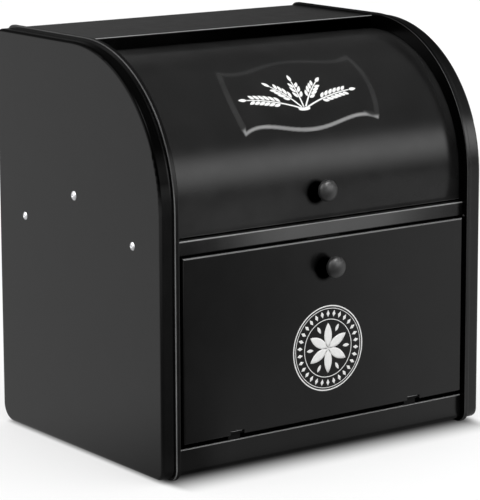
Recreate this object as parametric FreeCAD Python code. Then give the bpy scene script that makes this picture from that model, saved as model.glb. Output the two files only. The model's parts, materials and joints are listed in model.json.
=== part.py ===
import FreeCAD, Part

# Two-tier steel bread box: two pressed side cheeks, one folded wrap for top, back and floor,
# a shelf, a roll-top lid on two riveted arms and a fall-front door on two pin hinges.
# Millimetres, +Z up, the front looks along -Y. Lengths along Y are measured here from the
# crest of the cheek rims at the front, and everything is shifted on export so that the
# origin lies on the standing surface, under the middle of the bounding box.

import math
import os

from FreeCAD import Rotation, Vector

# ---------------------------------------------------------------- driving dimensions
WIDTH = 330.0             # over the two cheeks
DEPTH = 250.0             # over the cheek rims
HEIGHT = 345.0            # over the cheek rims
SHEET = 0.8               # steel sheet
RUN_GAP = 0.3             # between pieces that move past each other
FIT_GAP = 0.05            # radial, shank or pin in its hole
SEAT_GAP = 0.005          # where round faces would only just touch

FLANGE_WIDTH = 12.0       # cheek flange, from the outer face to the rim
RIM_WIDTH = 4.5
RIM_PROUD = 2.5           # rim crest above the flange
FRONT_ARC = 128.0         # radius of the rim's quarter round, at the crest
TOP_BACK_CORNER = 10.0
BOTTOM_BACK_CORNER = 17.0
BOTTOM_FRONT_CORNER = 11.0
CHEEK_BEND = 2.5
RIM_BEND = 1.0
LIP_DEPTH = 6.5           # inner lip of the rim along top, back and bottom
LIP_STEP = 6.0            # where the deep front lip ends, behind the top panel's edge

WRAP_RECESS = 2.3         # top, back and floor below the rim crest
TOP_EDGE = 130.5          # front edge of the top panel
TOP_HEM = 8.0             # front edge folded back flat under itself
TOP_HEM_BEND = 0.75

PIVOT_LEAD = 0.3          # lid's pivot in front of and below the centre of the rims' arc
PIVOT_DROP = 1.2
LID_SETBACK = 12.8        # outer face of the lid inside the rims' arc
LID_LIP_GAP = 1.5         # lid to the lip that covers its ends
LID_SEAT = 0.5            # lid's lower edge above the shelf
LID_TOP_ANGLE = 98.0      # upper edge of the lid, from straight ahead
LID_HEM = 7.0
LID_TOP_HEM = 5.0
LID_KNOB_RISE = 4.0       # knob above the pivot

PLAQUE_HALF_WIDTH = 72.0  # embossed plaque on the lid, at its corners
PLAQUE_BULGE = 4.0        # its ends bow out this much
PLAQUE_HALF_HEIGHT = 32.0
PLAQUE_CREST = 3.0        # long edges rise past the corners in the middle
PLAQUE_DIP = 5.5          # and dip this much beside them
PLAQUE_ANGLE = 45.0       # its middle, from straight ahead
PLAQUE_RAISE = 1.0

ARM_BAND = 20.0           # curved band of a lid arm
ARM_HUB = 15.0
ARM_SPOKE = 26.0
ARM_FLANGE = 11.0         # welding flange under the lid
ARM_END_ANGLE = 1.6       # band stops short of the lid's hems
PIVOT_WASHER = 0.6
PIVOT_WASHER_RADIUS = 8.0
PIVOT_SHANK = 2.5

SHELF_DROP = 151.0        # shelf's top face below the top, so the lid keeps its room
RAIL_SETBACK = 6.5        # shelf rail and base rail behind the rim crest
RAIL_HEIGHT = 12.4
RAIL_RETURN = 8.0
RAIL_TOP_BEND = 1.2
RAIL_LOW_BEND = 1.5
SHELF_FLANGE_FRONT = 30.0
SHELF_FLANGE_BACK = 218.0
SHELF_BACK_FLANGE = 10.0
SHELF_RIVETS_Y = (42.0, 205.0)
SHELF_RIVET_DROP = 6.5    # rivets below the shelf's top face

BASE_TOP = 25.0
BASE_LEDGE = 14.0
BASE_LEDGE_LIP = 4.0
BASE_FOOT = 20.0
BASE_LOW_BEND = 4.0
FLOOR_FRONT = 12.0        # front edge of the floor, under the base rail

DOOR_FACE = 1.5           # door skin behind the rim crest
DOOR_SIDE_GAP = 4.0
DOOR_TOP_GAP = 0.6
DOOR_FOOT_GAP = 4.9       # door's lower edge above the base rail
DOOR_RETURN = 6.0         # depth of the folded edge
DOOR_FRAME = 8.0          # second fold, parallel to the skin
DOOR_BEND = 1.4
DOOR_KNOB_DROP = 22.7     # knob below the door's upper edge

HINGE_INSET = 52.5        # hinge's middle from the door's side edge
HINGE_BACK = 3.9          # hinge axis behind the door's face
HINGE_RISE = 2.3          # hinge axis above the door's lower edge
KNUCKLE_RADIUS = 2.0
KNUCKLE_WIDTH = 12.0
KNUCKLE_GAP = 0.4
PIN_RADIUS = 1.0
EAR_WIDTH = 5.6
HINGE_NOTCH = 3.8         # height of the notch in the door skin
LEAF_FOOT = 11.0
DOOR_LEAF_TOP = 20.0      # door leaf above the hinge axis
LEAF_ROOT = 4.6           # where the curl of the door leaf begins, above the axis

KNOB_RADIUS = 9.0
KNOB_LENGTH = 16.0
KNOB_NECK = 4.2
KNOB_CROWN = 0.8          # radius of the small flat on top of the dome
KNOB_FOOT = 5.6
KNOB_RIM_START = 8.2      # height where the head reaches its rim
KNOB_RIM_END = 11.8
SCREW_RADIUS = 2.0
SCREW_GRIP = 7.0          # how far the screw reaches into the knob
SCREW_HEAD_RADIUS = 4.0
SCREW_HEAD_HEIGHT = 2.6
WASHER_RADIUS = 6.0
WASHER_THICK = 0.8

RIVET_SHANK = 2.0
RIVET_HEAD_RADIUS = 3.5
RIVET_HEAD_HEIGHT = 1.4
RIVET_TAIL_RADIUS = 3.1
RIVET_TAIL_HEIGHT = 1.0
PIVOT_HEAD_RADIUS = 4.0
PIVOT_HEAD_HEIGHT = 1.8

CATCH_WIDTH = 34.0
CATCH_DEPTH = 11.0
CATCH_HEIGHT = 11.0
CATCH_GAP = 0.4           # magnet to the closed door
MAGNET_WIDTH = 20.0
MAGNET_HEIGHT = 5.0
MAGNET_PROUD = 0.3
MAGNET_DEPTH = 4.0
CATCH_RIVET_X = 12.5
CATCH_RIVET_RADIUS = 1.5
CATCH_PIN_RADIUS = 1.3
CATCH_PIN_REACH = 2.0
CATCH_PIN_SETBACK = 4.0

# ---------------------------------------------------------------- places worked out
HALF = WIDTH / 2
INNER_X = HALF - FLANGE_WIDTH - RIM_WIDTH          # inner face of the cheek lips
PLATE_X = HALF - SHEET                             # inner face of the cheek plates
ARC_Y = FRONT_ARC
ARC_Z = HEIGHT - FRONT_ARC
PIVOT_Y = ARC_Y - PIVOT_LEAD
PIVOT_Z = ARC_Z - PIVOT_DROP
LID_RADIUS = FRONT_ARC - LID_SETBACK
LIP_RADIUS = LID_RADIUS + LID_LIP_GAP
SHELF_TOP = HEIGHT - SHELF_DROP
SHELF_LOW = SHELF_TOP - SHEET
RAIL_LOW = SHELF_TOP - RAIL_HEIGHT
LID_INNER = LID_RADIUS - SHEET
LID_LOW_ANGLE = -math.degrees(math.asin((PIVOT_Z - SHELF_TOP - LID_SEAT) / LID_RADIUS))
ARM_X = PLATE_X - PIVOT_WASHER - 2 * RUN_GAP       # outer face of the lid arms
DOOR_TOP = RAIL_LOW - DOOR_TOP_GAP
DOOR_LOW = BASE_TOP + DOOR_FOOT_GAP
DOOR_X = INNER_X - DOOR_SIDE_GAP
HINGE_X = DOOR_X - HINGE_INSET
DOOR_BACK = DOOR_FACE + DOOR_RETURN
DOOR_KNOB_Z = DOOR_TOP - DOOR_KNOB_DROP
AXIS_Y = DOOR_FACE + HINGE_BACK
AXIS_Z = DOOR_LOW + HINGE_RISE
KNOB_ANGLE = math.degrees(math.asin(LID_KNOB_RISE / LID_RADIUS))
FRONT_REACH = KNOB_LENGTH - DOOR_FACE              # door knob in front of the rim crest
ORIGIN_Y = (DEPTH - FRONT_REACH) / 2


# ---------------------------------------------------------------- small helpers
def box(x0, x1, y0, y1, z0, z1):
    return Part.makeBox(x1 - x0, y1 - y0, z1 - z0, Vector(x0, y0, z0))


def rod(radius, x0, x1, y, z):
    """A cylinder along X."""
    return Part.makeCylinder(radius, x1 - x0, Vector(x0, y, z), Vector(1, 0, 0))


def fused(shapes):
    whole = shapes[0].multiFuse(shapes[1:])
    return whole.removeSplitter()


def mirrored(shape):
    return shape.mirror(Vector(0, 0, 0), Vector(1, 0, 0))


def line(a, b):
    return Part.LineSegment(a, b).toShape()


def bend(centre, radius, start, end):
    """An arc in a plane of constant X; angles in degrees, from +Y towards +Z."""
    points = []
    for angle in (start, (start + end) / 2, end):
        turn = math.radians(angle)
        points.append(centre + Vector(0, radius * math.cos(turn), radius * math.sin(turn)))
    return Part.Arc(*points).toShape()


def prism(edges, x, length):
    """The closed outline given by edges at X = 0, as a solid from x over length."""
    solid = Part.Face(Part.Wire(edges)).extrude(Vector(length, 0, 0))
    solid.translate(Vector(x, 0, 0))
    return solid


def polygon(points, x, length):
    corners = [Vector(0, y, z) for y, z in points]
    corners.append(corners[0])
    solid = Part.Face(Part.makePolygon(corners)).extrude(Vector(length, 0, 0))
    solid.translate(Vector(x, 0, 0))
    return solid


def folded(points, x, length, bends):
    """A folded strip: points go round its section, bends give (y, z, radius) of its bends."""
    solid = polygon(points, x, length)
    for y, z, radius in bends:
        edges = [e for e in solid.Edges if along_x(e) and near(e, y, z)]
        solid = solid.makeFillet(radius, edges)
    return solid


def along_x(edge):
    a, b = edge.Vertexes[0].Point, edge.Vertexes[-1].Point
    return abs(a.y - b.y) < 1e-4 and abs(a.z - b.z) < 1e-4 and abs(a.x - b.x) > 1e-4


def near(edge, y, z):
    point = edge.Vertexes[0].Point
    return abs(point.y - y) < 1e-3 and abs(point.z - z) < 1e-3


def rounded_face(solid, x, radius):
    """The solid with the edges round its flat face at x rounded."""
    edges = [e for e in solid.Edges if all(abs(v.Point.x - x) < 1e-6 for v in e.Vertexes)]
    return solid.makeFillet(radius, edges)


def ring_piece(inner, outer, start, end, x0, x1):
    """Part of a ring about the lid's pivot; angles from straight ahead, upwards."""
    centre = Vector(0, PIVOT_Y, PIVOT_Z)
    first, last = 180 - start, 180 - end
    edges = [bend(centre, outer, first, last), bend(centre, inner, first, last)]
    for angle in (first, last):
        turn = math.radians(angle)
        ray = Vector(0, math.cos(turn), math.sin(turn))
        edges.append(line(centre + ray * inner, centre + ray * outer))
    wire = Part.Wire(Part.__sortEdges__(edges))
    solid = Part.Face(wire).extrude(Vector(x1 - x0, 0, 0))
    solid.translate(Vector(x0, 0, 0))
    return solid


def on_lid(shape):
    """Turns a shape built on the Z axis from 0 upwards so that it stands out of the lid."""
    shape.rotate(Vector(0, 0, 0), Vector(1, 0, 0), 90 - KNOB_ANGLE)
    turn = math.radians(KNOB_ANGLE)
    reach = Vector(0, -math.cos(turn), math.sin(turn)) * LID_RADIUS
    shape.translate(Vector(0, PIVOT_Y, PIVOT_Z) + reach)
    return shape


def on_door(shape):
    """The same for the door's face."""
    shape.rotate(Vector(0, 0, 0), Vector(1, 0, 0), 90)
    shape.translate(Vector(0, DOOR_FACE, DOOR_KNOB_Z))
    return shape


def save(node, shape):
    placed = shape.copy()
    placed.translate(Vector(0, -ORIGIN_Y, 0))
    placed.exportStep("parts/" + node + ".step")
    print(node, len(placed.Solids), "solids, valid", placed.isValid(), round(placed.Volume, 1))


# ---------------------------------------------------------------- outline of the box
def side_outline(inset):
    """Edges of the side view, moved inwards from the rim crest."""
    low, high = inset, HEIGHT - inset
    front, back = inset, DEPTH - inset
    front_low = BOTTOM_FRONT_CORNER - inset
    back_low = BOTTOM_BACK_CORNER - inset
    back_top = TOP_BACK_CORNER - inset
    return [
        line(Vector(0, front + front_low, low), Vector(0, back - back_low, low)),
        bend(Vector(0, back - back_low, low + back_low), back_low, -90, 0),
        line(Vector(0, back, low + back_low), Vector(0, back, high - back_top)),
        bend(Vector(0, back - back_top, high - back_top), back_top, 0, 90),
        line(Vector(0, back - back_top, high), Vector(0, ARC_Y, high)),
        bend(Vector(0, ARC_Y, ARC_Z), FRONT_ARC - inset, 90, 180),
        line(Vector(0, front, ARC_Z), Vector(0, front, low + front_low)),
        bend(Vector(0, front + front_low, low + front_low), front_low, 180, 270),
    ]


def mouth_outline():
    """Edges of the opening inside the lips: deep beside the lid, shallow elsewhere."""
    low, high, back = LIP_DEPTH, HEIGHT - LIP_DEPTH, DEPTH - LIP_DEPTH
    front = PIVOT_Y - LIP_RADIUS
    lid_high = PIVOT_Z + LIP_RADIUS
    step = TOP_EDGE + LIP_STEP
    back_low = BOTTOM_BACK_CORNER - LIP_DEPTH
    back_top = TOP_BACK_CORNER - LIP_DEPTH
    front_low = BOTTOM_FRONT_CORNER - LIP_DEPTH
    return [
        line(Vector(0, front + front_low, low), Vector(0, back - back_low, low)),
        bend(Vector(0, back - back_low, low + back_low), back_low, -90, 0),
        line(Vector(0, back, low + back_low), Vector(0, back, high - back_top)),
        bend(Vector(0, back - back_top, high - back_top), back_top, 0, 90),
        line(Vector(0, back - back_top, high), Vector(0, step, high)),
        line(Vector(0, step, high), Vector(0, step, lid_high)),
        line(Vector(0, step, lid_high), Vector(0, PIVOT_Y, lid_high)),
        bend(Vector(0, PIVOT_Y, PIVOT_Z), LIP_RADIUS, 90, 180),
        line(Vector(0, front, PIVOT_Z), Vector(0, front, low + front_low)),
        bend(Vector(0, front + front_low, low + front_low), front_low, 180, 270),
    ]


# ---------------------------------------------------------------- case
def cheek():
    """Left cheek: a pressed tray whose flange turns up into a raised, folded rim."""
    tray = prism(side_outline(RIM_PROUD), -HALF, FLANGE_WIDTH + RIM_WIDTH)
    tray = rounded_face(tray, -HALF, CHEEK_BEND)
    rim_start = -HALF + FLANGE_WIDTH
    rim = prism(side_outline(0), rim_start, RIM_WIDTH)
    rim = rounded_face(rim, rim_start, RIM_BEND)
    rim = rounded_face(rim, rim_start + RIM_WIDTH, RIM_BEND)
    inside = prism(side_outline(RIM_PROUD + SHEET), -HALF + SHEET, FLANGE_WIDTH)
    inside = rounded_face(inside, -HALF + SHEET, CHEEK_BEND - SHEET)
    channel = prism(side_outline(SHEET), rim_start + SHEET, RIM_WIDTH - 2 * SHEET)
    mouth = prism(mouth_outline(), -HALF + SHEET + CHEEK_BEND, FLANGE_WIDTH + RIM_WIDTH)
    shell = tray.fuse(rim).cut(inside).cut(channel).cut(mouth)
    for y in SHELF_RIVETS_Y:
        hole = rod(RIVET_SHANK + FIT_GAP, -HALF - 1, -PLATE_X + 1, y, SHELF_TOP - SHELF_RIVET_DROP)
        shell = shell.cut(hole)
    return shell.cut(rod(PIVOT_SHANK + FIT_GAP, -HALF - 1, -PLATE_X + 1, PIVOT_Y, PIVOT_Z))


def body_wrap():
    """Top, back and floor in one folded sheet, with narrow flanges against the lips."""
    length = 2 * INNER_X
    skin = prism(side_outline(WRAP_RECESS), -INNER_X, length)
    skin = skin.cut(prism(side_outline(WRAP_RECESS + SHEET), -INNER_X, length))
    flange = prism(side_outline(WRAP_RECESS), -INNER_X, SHEET)
    flange = flange.cut(prism(side_outline(LIP_DEPTH), -INNER_X, SHEET))
    wrap = fused([skin, flange, mirrored(flange)])
    wrap = wrap.cut(box(-HALF, HALF, -1, TOP_EDGE, LIP_DEPTH, HEIGHT + 1))
    wrap = wrap.cut(box(-HALF, HALF, -1, FLOOR_FRONT, -1, LIP_DEPTH + 1))
    top = HEIGHT - WRAP_RECESS
    under = top - 2 * SHEET
    hem = box(-INNER_X, INNER_X, TOP_EDGE, TOP_EDGE + TOP_HEM, under, top)
    wrap = fused([wrap, hem])
    edges = [e for e in wrap.Edges
             if along_x(e) and (near(e, TOP_EDGE, top) or near(e, TOP_EDGE, under))]
    return wrap.makeFillet(TOP_HEM_BEND, edges)


def base_rail():
    """Folded rail across the front foot: face, ledge with a lip, and a foot on the floor."""
    face = RAIL_SETBACK
    inner = face + SHEET
    ledge_end = face + BASE_LEDGE
    foot = WRAP_RECESS + SHEET
    section = [
        (face, foot), (face, BASE_TOP), (ledge_end, BASE_TOP),
        (ledge_end, BASE_TOP - BASE_LEDGE_LIP),
        (ledge_end - SHEET, BASE_TOP - BASE_LEDGE_LIP), (ledge_end - SHEET, BASE_TOP - SHEET),
        (inner, BASE_TOP - SHEET), (inner, foot + SHEET),
        (face + BASE_FOOT, foot + SHEET), (face + BASE_FOOT, foot),
    ]
    bends = [
        (face, foot, BASE_LOW_BEND), (inner, foot + SHEET, BASE_LOW_BEND - SHEET),
        (face, BASE_TOP, RAIL_TOP_BEND), (ledge_end, BASE_TOP, RAIL_TOP_BEND),
    ]
    rail = folded(section, -INNER_X, 2 * INNER_X, bends)
    for side in (-1, 1):
        edge = side * (INNER_X - SHEET - FIT_GAP)
        x0, x1 = sorted((edge, side * HALF))
        rail = rail.cut(box(x0, x1, FLOOR_FRONT - FIT_GAP, DEPTH, 0, LIP_DEPTH + FIT_GAP))
    return rail


def shelf():
    """Shelf plate with a folded front rail, side flanges and a back flange."""
    face = RAIL_SETBACK
    inner = face + SHEET
    wide_front = PIVOT_Y - LIP_RADIUS + 2 * RUN_GAP
    wide_back = DEPTH - LIP_DEPTH - 2 * RUN_GAP
    back = DEPTH - WRAP_RECESS - SHEET
    section = [
        (face, RAIL_LOW), (face, SHELF_TOP), (wide_back, SHELF_TOP),
        (wide_back, SHELF_LOW), (inner, SHELF_LOW), (inner, RAIL_LOW + SHEET),
        (face + RAIL_RETURN, RAIL_LOW + SHEET), (face + RAIL_RETURN, RAIL_LOW),
    ]
    bends = [(face, SHELF_TOP, RAIL_TOP_BEND), (face, RAIL_LOW, RAIL_LOW_BEND),
             (inner, RAIL_LOW + SHEET, RAIL_LOW_BEND - SHEET)]
    rail = folded(section, -INNER_X, 2 * INNER_X, bends)
    plate = box(-PLATE_X, PLATE_X, wide_front, wide_back, SHELF_LOW, SHELF_TOP)
    tongue_x = INNER_X - SHEET - RUN_GAP
    tongue = box(-tongue_x, tongue_x, wide_front, back, SHELF_LOW, SHELF_TOP)
    back_flange = box(-tongue_x, tongue_x, back - SHEET, back,
                      SHELF_TOP - SHELF_BACK_FLANGE, SHELF_TOP)
    flange = box(-PLATE_X, -PLATE_X + SHEET, SHELF_FLANGE_FRONT, SHELF_FLANGE_BACK,
                 RAIL_LOW, SHELF_TOP)
    for y in SHELF_RIVETS_Y:
        hole = rod(RIVET_SHANK + FIT_GAP, -HALF, -PLATE_X + 2 * SHEET, y,
                   SHELF_TOP - SHELF_RIVET_DROP)
        flange = flange.cut(hole)
    whole = fused([rail, plate, tongue, back_flange, flange, mirrored(flange)])
    for x in (-CATCH_RIVET_X, CATCH_RIVET_X):
        hole = Part.makeCylinder(CATCH_RIVET_RADIUS + FIT_GAP, 2 * SHEET,
                                 Vector(x, catch_rivet_y(), RAIL_LOW - SHEET / 2))
        whole = whole.cut(hole)
    return whole


def rivet(head_radius, head_height, shank, grip, tail_radius, tail_height):
    """A rivet on the X axis: domed head outside -X of 0, shank to grip, flat tail."""
    sphere_radius = (head_radius ** 2 + head_height ** 2) / (2 * head_height)
    sphere = Part.makeSphere(sphere_radius, Vector(sphere_radius - head_height, 0, 0))
    span = sphere_radius + head_radius
    head = sphere.common(box(-head_height, 0, -span, span, -span, span))
    shaft = rod(shank, -head_height / 4, grip + tail_height, 0, 0)
    tail = rod(tail_radius, grip, grip + tail_height, 0, 0)
    tail = rounded_face(tail, grip + tail_height, tail_height / 2)
    return fused([head, shaft, tail])


def shelf_rivets():
    made = []
    for y in SHELF_RIVETS_Y:
        one = rivet(RIVET_HEAD_RADIUS, RIVET_HEAD_HEIGHT, RIVET_SHANK, 2 * SHEET,
                    RIVET_TAIL_RADIUS, RIVET_TAIL_HEIGHT)
        one.translate(Vector(-HALF, y, SHELF_TOP - SHELF_RIVET_DROP))
        made += [one, mirrored(one)]
    return Part.makeCompound(made)


def pivot_rivet():
    """Left pivot rivet: holds a washer and, with running gaps, the lid arm."""
    grip = HALF - ARM_X + SHEET + RUN_GAP
    one = rivet(PIVOT_HEAD_RADIUS, PIVOT_HEAD_HEIGHT, PIVOT_SHANK, grip,
                PIVOT_WASHER_RADIUS, SHEET)
    one.translate(Vector(-HALF, PIVOT_Y, PIVOT_Z))
    return one


def pivot_washer():
    start = -PLATE_X
    disc = rod(PIVOT_WASHER_RADIUS, start, start + PIVOT_WASHER, PIVOT_Y, PIVOT_Z)
    return disc.cut(rod(PIVOT_SHANK + FIT_GAP, start - 1, start + PIVOT_WASHER + 1,
                        PIVOT_Y, PIVOT_Z))


# ---------------------------------------------------------------- lid
def lid_shell():
    """Curved sheet with a hem folded inwards along its lower and upper edge."""
    ends = ARM_X
    low, high = LID_LOW_ANGLE, LID_TOP_ANGLE
    one_sheet = math.degrees(SHEET / LID_RADIUS)
    inside = ends - SHEET
    skin = ring_piece(LID_INNER, LID_RADIUS, low, high, -ends, ends)
    low_hem = ring_piece(LID_RADIUS - LID_HEM, LID_INNER, low, low + one_sheet, -inside, inside)
    top_hem = ring_piece(LID_RADIUS - LID_TOP_HEM, LID_INNER, high - one_sheet, high,
                         -inside, inside)
    shell = fused([skin, low_hem, top_hem])
    shell = shell.fuse(plaque_block(0, LID_INNER + SHEET / 2, LID_RADIUS + PLAQUE_RAISE))
    shell = shell.cut(plaque_block(SHEET, LID_INNER - SHEET, LID_INNER + PLAQUE_RAISE))
    hole = Part.makeCylinder(SCREW_RADIUS + FIT_GAP, 4 * SHEET, Vector(0, 0, -2 * SHEET))
    return shell.cut(on_lid(hole))


def plaque_outline(inset):
    """Corner points of a quarter of the plaque, then mirrored all round: a wavy label shape."""
    wide, high = PLAQUE_HALF_WIDTH - inset, PLAQUE_HALF_HEIGHT - inset
    dip, crest = high - PLAQUE_DIP, high + PLAQUE_CREST
    ease = (high + dip) / 2
    quarter = [
        (wide + PLAQUE_BULGE, 0), (wide + PLAQUE_BULGE * 0.8, high * 0.45), (wide, high),
        (wide * 0.86, ease), (wide * 0.69, dip), (wide * 0.5, ease), (wide * 0.22, crest - 0.6),
        (0, crest),
    ]
    half = quarter + [(-x, h) for x, h in reversed(quarter[:-1])]
    return half + [(x, -h) for x, h in reversed(half[1:-1])]


def plaque_block(inset, inner, outer):
    """The plaque's outline carried through the ring between two radii of the lid."""
    corners = [Vector(x, 0, LID_RADIUS * math.sin(h / LID_RADIUS))
               for x, h in plaque_outline(inset)]
    corners.append(corners[0])
    block = Part.Face(Part.makePolygon(corners)).extrude(Vector(0, -2 * LID_RADIUS, 0))
    block.rotate(Vector(0, 0, 0), Vector(1, 0, 0), -PLAQUE_ANGLE)
    block.translate(Vector(0, PIVOT_Y, PIVOT_Z))
    span = math.degrees((PLAQUE_HALF_HEIGHT + PLAQUE_CREST) / LID_RADIUS) + 2
    ring = ring_piece(inner, outer, PLAQUE_ANGLE - span, PLAQUE_ANGLE + span,
                      -PLAQUE_HALF_WIDTH - 2 * PLAQUE_BULGE, PLAQUE_HALF_WIDTH + 2 * PLAQUE_BULGE)
    return block.common(ring)


def lid_arm():
    """Left lid arm: hub, spoke and band in one flat sheet, with a welding flange."""
    x0, x1 = -ARM_X, -ARM_X + SHEET
    start, end = LID_LOW_ANGLE + ARM_END_ANGLE, LID_TOP_ANGLE - ARM_END_ANGLE
    band = ring_piece(LID_INNER - ARM_BAND, LID_INNER, start, end, x0, x1)
    flange = ring_piece(LID_INNER - SHEET, LID_INNER, start, end, x0, x0 + ARM_FLANGE)
    hub = rod(ARM_HUB, x0, x1, PIVOT_Y, PIVOT_Z)
    spoke = box(x0, x1, -LID_INNER + SHEET, 0, -ARM_SPOKE / 2, ARM_SPOKE / 2)
    spoke.rotate(Vector(0, 0, 0), Vector(1, 0, 0), -(start + end) / 2)
    spoke.translate(Vector(0, PIVOT_Y, PIVOT_Z))
    arm = fused([band, flange, hub, spoke])
    return arm.cut(rod(PIVOT_SHANK + FIT_GAP, x0 - 1, x1 + 1, PIVOT_Y, PIVOT_Z))


# ---------------------------------------------------------------- knobs
def knob():
    """Mushroom knob on the Z axis, foot at 0, with a blind screw hole."""
    foot, neck, rim = KNOB_FOOT, KNOB_NECK, KNOB_RADIUS
    rim_low, rim_high = KNOB_RIM_START, KNOB_RIM_END
    foot_high, neck_low, neck_high = 1.0, 2.2, 4.4

    def at(radius, height):
        return Vector(radius, 0, height)

    edges = [
        line(at(0, 0), at(foot, 0)),
        line(at(foot, 0), at(foot, foot_high)),
        line(at(foot, foot_high), at(neck, neck_low)),
        line(at(neck, neck_low), at(neck, neck_high)),
        Part.Arc(at(neck, neck_high), at(neck + (rim - neck) * 0.36, rim_low - 1.2),
                 at(rim - 0.8, rim_low)).toShape(),
        Part.Arc(at(rim - 0.8, rim_low), at(rim, (rim_low + rim_high) / 2),
                 at(rim - 0.8, rim_high)).toShape(),
        Part.Arc(at(rim - 0.8, rim_high), at(rim * 0.58, KNOB_LENGTH - 1.6),
                 at(KNOB_CROWN, KNOB_LENGTH)).toShape(),
        line(at(KNOB_CROWN, KNOB_LENGTH), at(0, KNOB_LENGTH)),
        line(at(0, KNOB_LENGTH), at(0, 0)),
    ]
    body = Part.Face(Part.Wire(edges)).revolve(Vector(0, 0, 0), Vector(0, 0, 1), 360)
    hole = Part.makeCylinder(SCREW_RADIUS, SCREW_GRIP + 1, Vector(0, 0, -1))
    return body.cut(hole)


def knob_washer(seat):
    """Washer behind a sheet, its flat face seat below 0."""
    disc = Part.makeCylinder(WASHER_RADIUS, WASHER_THICK, Vector(0, 0, -seat - WASHER_THICK))
    return disc.cut(Part.makeCylinder(SCREW_RADIUS + FIT_GAP, 4 * WASHER_THICK,
                                      Vector(0, 0, -seat - 2 * WASHER_THICK)))


def knob_screw(seat):
    """Pan head screw whose head bears on the washer."""
    under = -seat - WASHER_THICK
    reach = SCREW_GRIP - 1
    shank = Part.makeCylinder(SCREW_RADIUS - FIT_GAP, reach - under, Vector(0, 0, under))
    head = Part.makeCylinder(SCREW_HEAD_RADIUS, SCREW_HEAD_HEIGHT,
                             Vector(0, 0, under - SCREW_HEAD_HEIGHT))
    low = [e for e in head.Edges if all(abs(v.Point.z - under + SCREW_HEAD_HEIGHT) < 1e-6
                                        for v in e.Vertexes)]
    return fused([shank, head.makeFillet(SCREW_HEAD_HEIGHT / 2, low)])


def lid_washer_seat():
    """A flat washer inside the curved lid touches at its rim, a little further in."""
    return LID_RADIUS - math.sqrt(LID_INNER ** 2 - WASHER_RADIUS ** 2) + SEAT_GAP


# ---------------------------------------------------------------- door
def door_panel():
    """Shallow tray: skin, folded edges and a second fold parallel to the skin."""
    outside = box(-DOOR_X, DOOR_X, DOOR_FACE, DOOR_BACK, DOOR_LOW, DOOR_TOP)
    front = [e for e in outside.Edges if all(abs(v.Point.y - DOOR_FACE) < 1e-6 for v in e.Vertexes)]
    outside = outside.makeFillet(DOOR_BEND, front)
    inner_x = DOOR_X - SHEET
    low, top = DOOR_LOW + SHEET, DOOR_TOP - SHEET
    inside = box(-inner_x, inner_x, DOOR_FACE + SHEET, DOOR_BACK - SHEET, low, top)
    frame_x = DOOR_X - DOOR_FRAME
    window = box(-frame_x, frame_x, DOOR_BACK - 2 * SHEET, DOOR_BACK + 1, low,
                 DOOR_TOP - DOOR_FRAME)
    door = outside.cut(inside).cut(window)
    for side in (-1, 1):
        x = side * HINGE_X
        flange_half = KNUCKLE_WIDTH / 2 + KNUCKLE_GAP + EAR_WIDTH + KNUCKLE_GAP
        notch_half = KNUCKLE_WIDTH / 2 + 2 * KNUCKLE_GAP
        door = door.cut(box(x - flange_half, x + flange_half, DOOR_FACE + SHEET,
                            DOOR_BACK + 1, DOOR_LOW - 1, low))
        door = door.cut(box(x - notch_half, x + notch_half, DOOR_FACE - 1,
                            DOOR_FACE + 2 * SHEET, DOOR_LOW - 1, DOOR_LOW + HINGE_NOTCH))
    hole = Part.makeCylinder(SCREW_RADIUS + FIT_GAP, 4 * SHEET, Vector(0, 0, -2 * SHEET))
    return door.cut(on_door(hole))


def rail_leaf():
    """Left body leaf: foot on the base rail, upright and one knuckle."""
    x0, x1 = -HINGE_X - KNUCKLE_WIDTH / 2, -HINGE_X + KNUCKLE_WIDTH / 2
    back = AXIS_Y + KNUCKLE_RADIUS
    curl = rod(KNUCKLE_RADIUS, x0, x1, AXIS_Y, AXIS_Z)
    upright = box(x0, x1, back - SHEET, back, BASE_TOP, AXIS_Z)
    foot = box(x0, x1, back - SHEET, back + LEAF_FOOT, BASE_TOP, BASE_TOP + SHEET)
    leaf = fused([curl, upright, foot])
    return leaf.cut(rod(PIN_RADIUS + FIT_GAP, x0 - 1, x1 + 1, AXIS_Y, AXIS_Z))


def door_leaf():
    """Left door leaf: plate on the back of the skin with an ear each side of the knuckle."""
    near_edge = KNUCKLE_WIDTH / 2 + KNUCKLE_GAP
    far_edge = near_edge + EAR_WIDTH
    front = DOOR_FACE + SHEET
    root = AXIS_Z + LEAF_ROOT
    pieces = [box(-HINGE_X - far_edge, -HINGE_X + far_edge, front, front + SHEET,
                  root, AXIS_Z + DOOR_LEAF_TOP)]
    for x0, x1 in ((-far_edge, -near_edge), (near_edge, far_edge)):
        ear_x0, ear_x1 = -HINGE_X + x0, -HINGE_X + x1
        pieces.append(rod(KNUCKLE_RADIUS, ear_x0, ear_x1, AXIS_Y, AXIS_Z))
        pieces.append(box(ear_x0, ear_x1, front, AXIS_Y - KNUCKLE_RADIUS + SHEET, AXIS_Z, root))
    leaf = fused(pieces)
    return leaf.cut(rod(PIN_RADIUS + FIT_GAP / 2, -HINGE_X - far_edge - 1,
                        -HINGE_X + far_edge + 1, AXIS_Y, AXIS_Z))


def hinge_pin():
    """Left hinge pin."""
    half = KNUCKLE_WIDTH / 2 + KNUCKLE_GAP + EAR_WIDTH
    return rod(PIN_RADIUS, -HINGE_X - half, -HINGE_X + half, AXIS_Y, AXIS_Z)


# ---------------------------------------------------------------- door catch
def catch_rivet_y():
    return RAIL_SETBACK + RAIL_RETURN - 2 * CATCH_RIVET_RADIUS


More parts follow.
